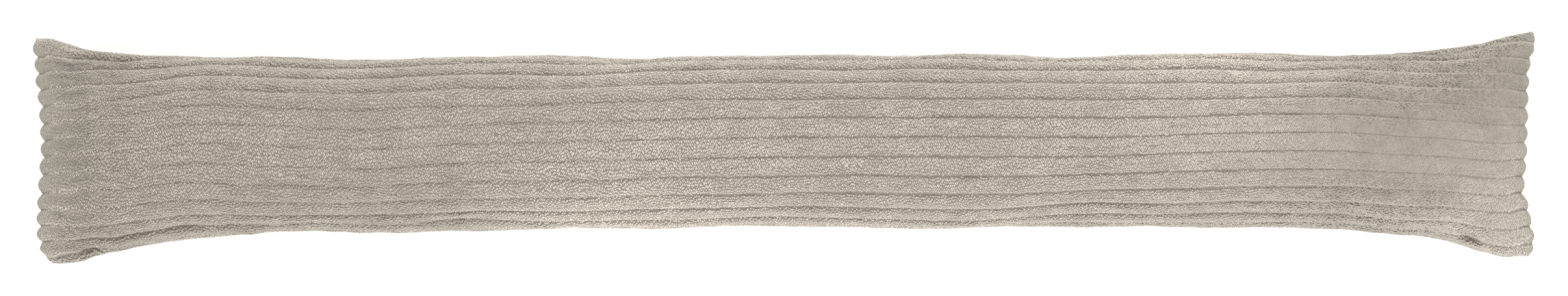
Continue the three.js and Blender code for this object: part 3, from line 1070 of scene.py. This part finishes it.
@dataclass(frozen=True)
class PileTones:
    """How light or dark each grain is: painted light and shade on the wales' flanks, painted light in the
    valleys near the ends, painted shade on the rims and in the folds.

    Facings are how far a place of the cover faces up, from -1 to 1.
    """

    shape: CoverShape
    seed: int = 6
    middle: float = 0.5
    spread: float = 0.105
    calm_share: float = 0.3
    darkest: float = -0.2

    # Painted light and shade: every wale's outer flank is painted lighter and its inner flank darker, as
    # the side lamps and the pile's sheen would light them
    flank_shade_rear: float = 0.34
    flank_shade_near: float = 0.16
    flank_shade_wales: float = 5
    flank_shade_facing: float = -0.2

    # Painted light in the valleys near the ends, and painted shade on the rims that face sideways
    pale: float = 0.55
    pale_left: float = 90
    pale_right: float = 26
    pale_sharpness: int = 3
    rim_painted_shade: float = 0.38
    rim_facing: float = 0.4
    rim_fade: float = 0.5

    # Painted shade, with some of the pile's own darker colour, along the valleys on the crown; painted
    # shade in the pinched folds
    valley_colour_and_shade: float = 0.18
    valley_from: float = -350
    valley_to: float = -200
    valley_ends: float = 190
    valley_fades: float = 160
    valley_sharpness: int = 4
    valley_facing: float = 0.6
    valley_facing_fade: float = 0.3
    fold_painted_shade: float = 0.45
    fold_depth: float = 3.5

    def at(self, u: np.ndarray, wale: np.ndarray, rough: np.ndarray, up: np.ndarray) -> np.ndarray:
        """The grains' tones.

        Args:
            u: The grains' places along the cushion.
            wale: The grains' wales.
            rough: From 0 at an end to 1 where the pile is in its full relief.
            up: How far each grain's place faces up.

        Returns:
            A number for each grain, from darkest to 1, light.
        """
        half = self.shape.length / 2
        random = np.random.default_rng(self.seed).standard_normal(len(u))
        uneven = self.spread * random * (self.calm_share + (1 - self.calm_share) * rough)
        # The patches add painted light and shade to each grain's tone
        tone = self.middle + uneven + self.shape.nearby(PAINTED_LIGHT_AND_SHADE, u, wale)
        # Painted light and shade across each wale: lighter on its outer flank, darker on its inner one
        side = np.clip((self.shape.crown_wale - wale) / self.flank_shade_wales, -1, 1)
        flank_light_shade = side * np.where(side > 0, self.flank_shade_rear, self.flank_shade_near) * (up > self.flank_shade_facing)
        tone = tone - (np.mod(wale, 1.0) - 0.5) * flank_light_shade
        # Painted light in the valleys near each seam
        from_seam = np.where(u < 0, (half + u) / self.pale_left, (half - u) / self.pale_right)
        tone = tone + self.pale * (1 - smooth_step(from_seam)) * from_crest(wale) ** self.pale_sharpness
        # Painted shade on the rims that face sideways and down
        tone = tone - self.rim_painted_shade * smooth_step((self.rim_facing - up) / self.rim_fade)
        # Painted shade, partly the pile's darker colour, along the valleys on the crown
        begun = smooth_step((u - self.valley_from) / (self.valley_to - self.valley_from))
        begun = begun * smooth_step((self.valley_ends - u) / self.valley_fades)
        on_crown = smooth_step((up - self.valley_facing) / self.valley_facing_fade)
        tone = tone - self.valley_colour_and_shade * begun * from_crest(wale) ** self.valley_sharpness * on_crown
        # Painted shade in the pinched folds, the deeper the darker
        fold = np.clip(self.shape.nearby(PINCHES, u, wale) / self.fold_depth, 0, 1)
        return np.clip(tone - self.fold_painted_shade * fold, self.darkest, 1)


@dataclass
class PileRows:
    """The pile's loops: small grains that lie in chevron rows on every wale.

    A row runs from a valley up to the crest and leans towards the right end, and its
    mirror image runs up from the other valley, so the two meet in an arrow. An arm is
    one of these two halves of a row.
    """

    skin: Skin
    finish: CordPileFinish
    tones: PileTones
    grain: Grain
    name: str = "pile_rows"
    stretches: int = 5
    seed: int = 5
    grid_places: int = 1321
    grid_steps: int = 18
    root_sunk: float = 0.55
    floor_clear: float = 0.9
    floor_facing: float = -0.5

    # The rows, and how far the grains stray from them
    grains_per_arm: int = 3
    first_grain: float = 0.55
    jitter: float = 0.14
    across_jitter: float = 0.012
    wander_mm: float = 0.7
    wander_rows: int = 41
    end_margin: float = 0.25

    # How wide the valleys are kept clear, as a share of an arm
    clear_left: float = -0.07
    clear_right: float = 0.12
    clear_side: float = 0.14
    clear_from: float = -170
    clear_to: float = 40
    crown_reach: float = 2.2
    crown_fade: float = 3

    # How the grains change near the ends and on the sides there
    calm_left: float = 20
    calm_right: float = 310
    calm_height: float = 0.4
    calm_wider: float = 0.1
    edge_size: float = 0.6
    ear_from_end: float = 80
    ear_smaller: float = 0.45
    ear_facing: float = 0.3
    ear_facing_fade: float = 0.5

    def cleared(self, along: np.ndarray, wale: np.ndarray) -> np.ndarray:
        """How much of each arm is left bare next to its valley.

        Args:
            along: Where each row stands along the cushion.
            wale: Each arm's wale, in a shape that goes with along's.

        Returns:
            A share of the arm, below 0 where it reaches over the valley.
        """
        off_crown = np.abs(wale + 0.5 - self.skin.shape.crown_wale) - self.crown_reach
        rightwards = smooth_step((along - self.clear_from) / (self.clear_to - self.clear_from))
        on_crown = self.clear_left + (self.clear_right - self.clear_left) * rightwards
        return on_crown + (self.clear_side - on_crown) * smooth_step(off_crown / self.crown_fade)

    def sites(self) -> tuple[np.ndarray, np.ndarray]:
        """Where the grains lie on the cloth.

        Returns:
            Each grain's place along the cushion, and its wale.
        """
        shape = self.skin.shape
        half = shape.length / 2
        rows = np.arange(-math.ceil(half / ROW_PITCH_MM) - ROW_LEAN, half / ROW_PITCH_MM + 1)
        climb = (np.arange(self.grains_per_arm) + self.first_grain) / self.grains_per_arm
        wale, arm, row, up = np.meshgrid(
            np.arange(shape.wale_count), (0, 1), rows, climb, indexing="ij"
        )
        random = np.random.default_rng(self.seed)
        drift = random.standard_normal((shape.wale_count, 2, len(rows)))
        kernel = np.hanning(self.wander_rows)
        kernel = kernel / kernel.sum()
        drift = np.apply_along_axis(lambda r: np.convolve(r, kernel, "same"), 2, drift)
        drift = drift / drift.std() * self.wander_mm
        up = np.mod(up + random.random(up.shape[:3])[..., None] / self.grains_per_arm, 1.0)
        clear = self.cleared(ROW_PITCH_MM * row, wale)
        up = clear + (1 - clear) * up
        u = ROW_PITCH_MM * (row + ROW_LEAN * up + 0.5 * arm) + drift[..., None]
        u = u + self.jitter * random.standard_normal(u.shape)
        across = np.where(arm == 0, 0.5 * up, 1 - 0.5 * up)
        across = across + self.across_jitter * random.standard_normal(u.shape)
        u, across = u.ravel(), (wale + across).ravel()
        keep = np.abs(u) < half - self.end_margin
        return u[keep], np.mod(across[keep], shape.wale_count)

    def frames(self, u: np.ndarray, wale: np.ndarray) -> tuple[np.ndarray, np.ndarray, np.ndarray]:
        """Where each grain sits in space, which way it stands and which way it lies.

        Args:
            u: The grains' places along the cushion.
            wale: The grains' wales.

        Returns:
            Points, outward normals and directions along the rows, one row each.
        """
        shape = self.skin.shape
        half = shape.length / 2
        places = np.linspace(-half, half, self.grid_places)
        wales = np.arange(shape.wale_count * self.grid_steps) / self.grid_steps
        grid = self.skin.points(places, wales, self.root_sunk)
        fields = (grid, np.gradient(grid, axis=0), np.roll(grid, -1, 1) - np.roll(grid, 1, 1))
        row = (u + half) / (2 * half) * (self.grid_places - 1)
        points, along, around = (read_between(each, row, wale * self.grid_steps) for each in fields)
        per_mm = along / (2 * half / (self.grid_places - 1))
        per_wale = around * self.grid_steps / 2
        rising = np.where(np.mod(wale, 1.0) < 0.5, 1.0, -1.0)[:, None]
        lie = per_wale * 0.5 * rising + per_mm * ROW_LEAN * ROW_PITCH_MM
        return points, unit(np.cross(around, along)), unit(lie)

    def sizes(self, u: np.ndarray, rough: np.ndarray, up: np.ndarray) -> np.ndarray:
        """How long, wide and high each grain is, as shares of a full one.

        Args:
            u: The grains' places along the cushion.
            rough: From 0 at an end to 1 where the pile is in its full relief.
            up: How far each grain's place faces up.

        Returns:
            Three shares for each grain.
        """
        from_end = self.skin.shape.from_end(u)
        grown = smooth_step(from_end / self.skin.shape.pile_rounding)
        edge = self.edge_size + (1 - self.edge_size) * grown
        spread = edge * (1 + self.calm_wider * (1 - rough))
        height = edge * (self.calm_height + (1 - self.calm_height) * rough)
        sideways = 1 - smooth_step((np.abs(up) - self.ear_facing) / self.ear_facing_fade)
        ear = sideways * (1 - smooth_step(from_end / self.ear_from_end))
        return np.stack([spread, spread, height], 1) * (1 - self.ear_smaller * ear[:, None])

    def build(self) -> list[bpy.types.Object]:
        """Lays the pile, as one plain mesh for each stretch of the cushion.

        Returns:
            The stretches, from the left end to the right.
        """
        u, wale = self.sites()
        points, out, lie = self.frames(u, wale)
        keep = (points[:, 2] > self.floor_clear * MM) | (out[:, 2] > self.floor_facing)
        u, wale, points, out, lie = u[keep], wale[keep], points[keep], out[keep], lie[keep]
        half = self.skin.shape.length / 2
        rough = smooth_step(np.minimum((half + u) / self.calm_left, (half - u) / self.calm_right))
        size, tone = self.sizes(u, rough, out[:, 2]), self.tones.at(u, wale, rough, out[:, 2])
        tree = self.grain.tree(self.finish.loops_material())
        order = np.argsort(u, kind="stable")
        made = []
        for k, part in enumerate(np.array_split(order, self.stretches)):
            facts = {"stand": out[part], "lie": lie[part], "size": size[part], "tone": tone[part]}
            made.append(self.lay(f"{self.name}_{k + 1}", tree, points[part], facts))
        return made

    def lay(self, name: str, tree: bpy.types.NodeTree, points: np.ndarray,
            facts: dict[str, np.ndarray]) -> bpy.types.Object:
        """One stretch of pile as a plain mesh.

        Args:
            name: The piece's name.
            tree: The node tree that lays a grain on each point.
            points: Where the grains sit.
            facts: Which way each grain stands and lies, its size in shares, and its tone.

        Returns:
            The new object.
        """
        cloud = bpy.data.meshes.new(name + "_points")
        cloud.from_pydata(points.tolist(), [], [])
        for label, values in facts.items():
            kind, column = ("FLOAT", "value") if values.ndim == 1 else ("FLOAT_VECTOR", "vector")
            layer = cloud.attributes.new(label, kind, "POINT")
            layer.data.foreach_set(column, values.astype(np.float32).ravel())
        made = bpy.data.objects.new(name, cloud)
        bpy.context.scene.collection.objects.link(made)
        modifier = made.modifiers.new("lay_pile", "NODES")
        modifier.node_group = tree
        wanted = self.grain.inputs()
        for item in tree.interface.items_tree:
            if item.in_out == "INPUT" and item.name in wanted:
                modifier[item.identifier] = wanted[item.name]
        evaluated = made.evaluated_get(bpy.context.evaluated_depsgraph_get())
        mesh = bpy.data.meshes.new_from_object(evaluated)
        made.modifiers.clear()
        made.data = mesh
        bpy.data.meshes.remove(cloud)
        mesh.name = name
        for label in ("stand", "lie", "size"):
            if label in mesh.attributes:
                mesh.attributes.remove(mesh.attributes[label])
        self.add_bake_sheet(mesh, len(points))
        LOG.info("%s: %d grains, %d faces", name, len(points), len(mesh.polygons))
        return made

    @staticmethod
    def add_bake_sheet(mesh: bpy.types.Mesh, grains: int) -> None:
        """Gives every grain a small square of its own on one sheet, for baking.

        Args:
            mesh: The mesh of all the grains, in order.
            grains: How many there are.
        """
        corners = np.empty(len(mesh.loops), dtype=np.int32)
        mesh.loops.foreach_get("vertex_index", corners)
        each = len(mesh.vertices) // grains
        grain, vertex = corners // each, corners % each
        side = math.ceil(math.sqrt(grains))
        ring = 2 * np.pi * vertex / (each - 1)
        reach = np.where(vertex == each - 1, 0.0, BAKE_CELL_REACH)
        cell = np.stack([grain % side, grain // side], 1)
        local = 0.5 + np.stack([np.cos(ring), np.sin(ring)], 1) * reach[:, None]
        sheet = mesh.uv_layers.new(name="OFBake")
        sheet.data.foreach_set("uv", ((cell + local) / side).astype(np.float32).ravel())

    def dress(self, made: list[bpy.types.Object]) -> None:
        """Says that every stretch of pile goes with the cushion.

        Args:
            made: The stretches.
        """
        for piece in made:
            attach(piece, "root")


@dataclass
class Studio:
    """A white floor, soft lights on both long sides, and a camera straight above."""

    floor_half_m: float = 6.0
    floor_drop_m: float = 0.0004
    floor_white: float = 0.97
    floor_glow: float = 0.05
    floor_roughness: float = 0.9
    floor_specular: float = 0.1
    box_place_m: tuple[float, float, float] = (0.15, 1.9, 0.84)
    box_size_m: tuple[float, float] = (2.6, 0.7)
    box_colour: Colour = (1.0, 0.997, 0.99)
    key_energy: float = 70.0
    fill_energy: float = 74.0
    world_strength: float = 0.60
    camera_height_m: float = 4.4
    outline_height_m: float = 0.035
    sensor_mm: float = 36.0
    clip_end_m: float = 50.0

    def floor(self) -> None:
        """Lays a plain pale floor just under the cushion, which is no part of it."""
        mesh = bpy.data.meshes.new("studio_floor")
        s = self.floor_half_m
        mesh.from_pydata([(-s, -s, 0), (s, -s, 0), (s, s, 0), (-s, s, 0)], [], [(0, 1, 2, 3)])
        made = bpy.data.objects.new("studio_floor", mesh)
        made.location.z = -self.floor_drop_m
        paint = bpy.data.materials.new("studio_floor")
        paint.use_nodes = True
        Wiring(paint.node_tree).feed(paint.node_tree.nodes["Principled BSDF"], {
            "Base Color": (*[self.floor_white] * 3, 1.0),
            "Emission Color": (1.0, 1.0, 1.0, 1.0), "Emission Strength": self.floor_glow,
            "Roughness": self.floor_roughness, "Specular IOR Level": self.floor_specular,
        })
        mesh.materials.append(paint)
        bpy.context.scene.collection.objects.link(made)
        made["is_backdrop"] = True

    def light(self, name: str, side: int, energy: float) -> None:
        """Sets up a soft box that faces the middle of the cushion.

        Args:
            name: The light's name.
            side: 1 on the rear side, -1 on the near side.
            energy: Its power, in watts.
        """
        data = bpy.data.lights.new(name, "AREA")
        data.shape = "RECTANGLE"
        data.size, data.size_y = self.box_size_m
        data.energy = energy
        data.color = self.box_colour
        made = bpy.data.objects.new(name, data)
        x, y, z = self.box_place_m
        made.location = (x, side * y, z)
        made.rotation_euler = (-made.location).to_track_quat("-Z", "Y").to_euler()
        bpy.context.scene.collection.objects.link(made)

    def world(self) -> None:
        """Gives even white light from all round, which also fills the background."""
        world = bpy.data.worlds.new("studio")
        world.use_nodes = True
        sky = world.node_tree.nodes["Background"]
        sky.inputs["Color"].default_value = (1.0, 1.0, 1.0, 1.0)
        sky.inputs["Strength"].default_value = self.world_strength
        bpy.context.scene.world = world

    def camera(self) -> None:
        """Sets a long lens straight above the middle, with the photograph's framing."""
        data = bpy.data.cameras.new("camera")
        data.sensor_width = self.sensor_mm
        frame_m = PHOTO_WIDTH_PX * PHOTO_MM_PER_PX * MM
        data.lens = self.sensor_mm * (self.camera_height_m - self.outline_height_m) / frame_m
        data.clip_end = self.clip_end_m
        made = bpy.data.objects.new("camera", data)
        made.location = (0, 0, self.camera_height_m)
        bpy.context.scene.collection.objects.link(made)
        bpy.context.scene.camera = made

    def build(self) -> None:
        """Sets up the whole studio round the origin."""
        self.floor()
        self.light("rear_box", 1, self.key_energy)
        self.light("near_box", -1, self.fill_energy)
        self.world()
        self.camera()
        bpy.context.scene.view_settings.view_transform = "Standard"
        LOG.info("studio: a floor, two soft boxes and a camera")


def main() -> None:
    """Builds and dresses the cushion in order, then sets up the studio."""
    logging.basicConfig(level=logging.INFO, format="%(name)s: %(message)s")
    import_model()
    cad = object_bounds()
    finish = CordPileFinish()
    skin = Skin(CoverShape(), Lumps())
    cover = Cover(skin, finish)
    skin.settle(cad, cover.places(), cover.wales())
    cover.dress(cover.build())
    pile = PileRows(skin, finish, PileTones(skin.shape), Grain())
    pile.dress(pile.build())
    Studio().build()


if __name__ == "__main__":
    main()
